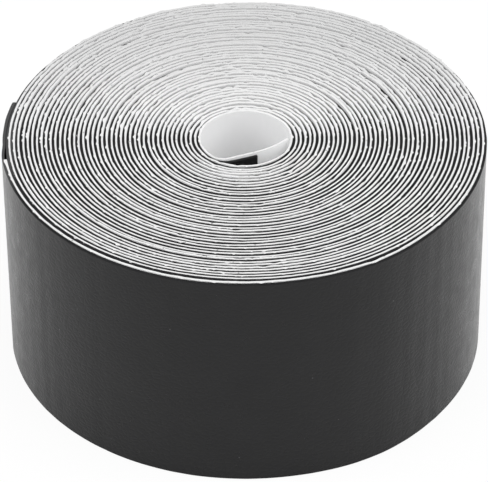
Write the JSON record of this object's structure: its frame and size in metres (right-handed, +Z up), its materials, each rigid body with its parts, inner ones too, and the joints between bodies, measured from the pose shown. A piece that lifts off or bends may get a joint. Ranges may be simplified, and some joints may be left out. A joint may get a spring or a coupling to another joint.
{
  "type": "grip tape roll",
  "caption": "Roll of black racket grip tape wound with a white release liner, with a lifting outer end and a free inner flap across the open bore.",
  "frame": {"origin": "middle of the roll's box, on the end face it stands on", "axes": "+Z up along the axis that the tape is wound about; the tape's outer end is near -X"},
  "size_m": [0.0495, 0.049, 0.0253],
  "materials": {
    "grip": "matte, finely creased soft polyurethane",
    "liner": "matt white release film"
  },
  "bodies": {
    "roll": {"grip_tape": "grip", "release_liner": "liner"},
    "outer_end": {"grip_outer_end": "grip", "liner_outer_end": "liner"},
    "inner_end": {"grip_inner_end": "grip", "liner_inner_end": "liner"}
  },
  "joints": [
    {"name": "outer_end_peel", "type": "hinge", "parent": "roll", "child": "outer_end", "pos_m": [-0.02005, -0.01405, 0], "axis": [0, 0, 1], "range_deg": [0, 100], "stiffness_Nm_per_rad": 0.0003},
    {"name": "inner_flap_swing", "type": "hinge", "parent": "roll", "child": "inner_end", "pos_m": [-0.00295, -0.0023, 0], "axis": [0, 0, 1], "range_deg": [0, 45], "stiffness_Nm_per_rad": 0.0004}
  ]
}
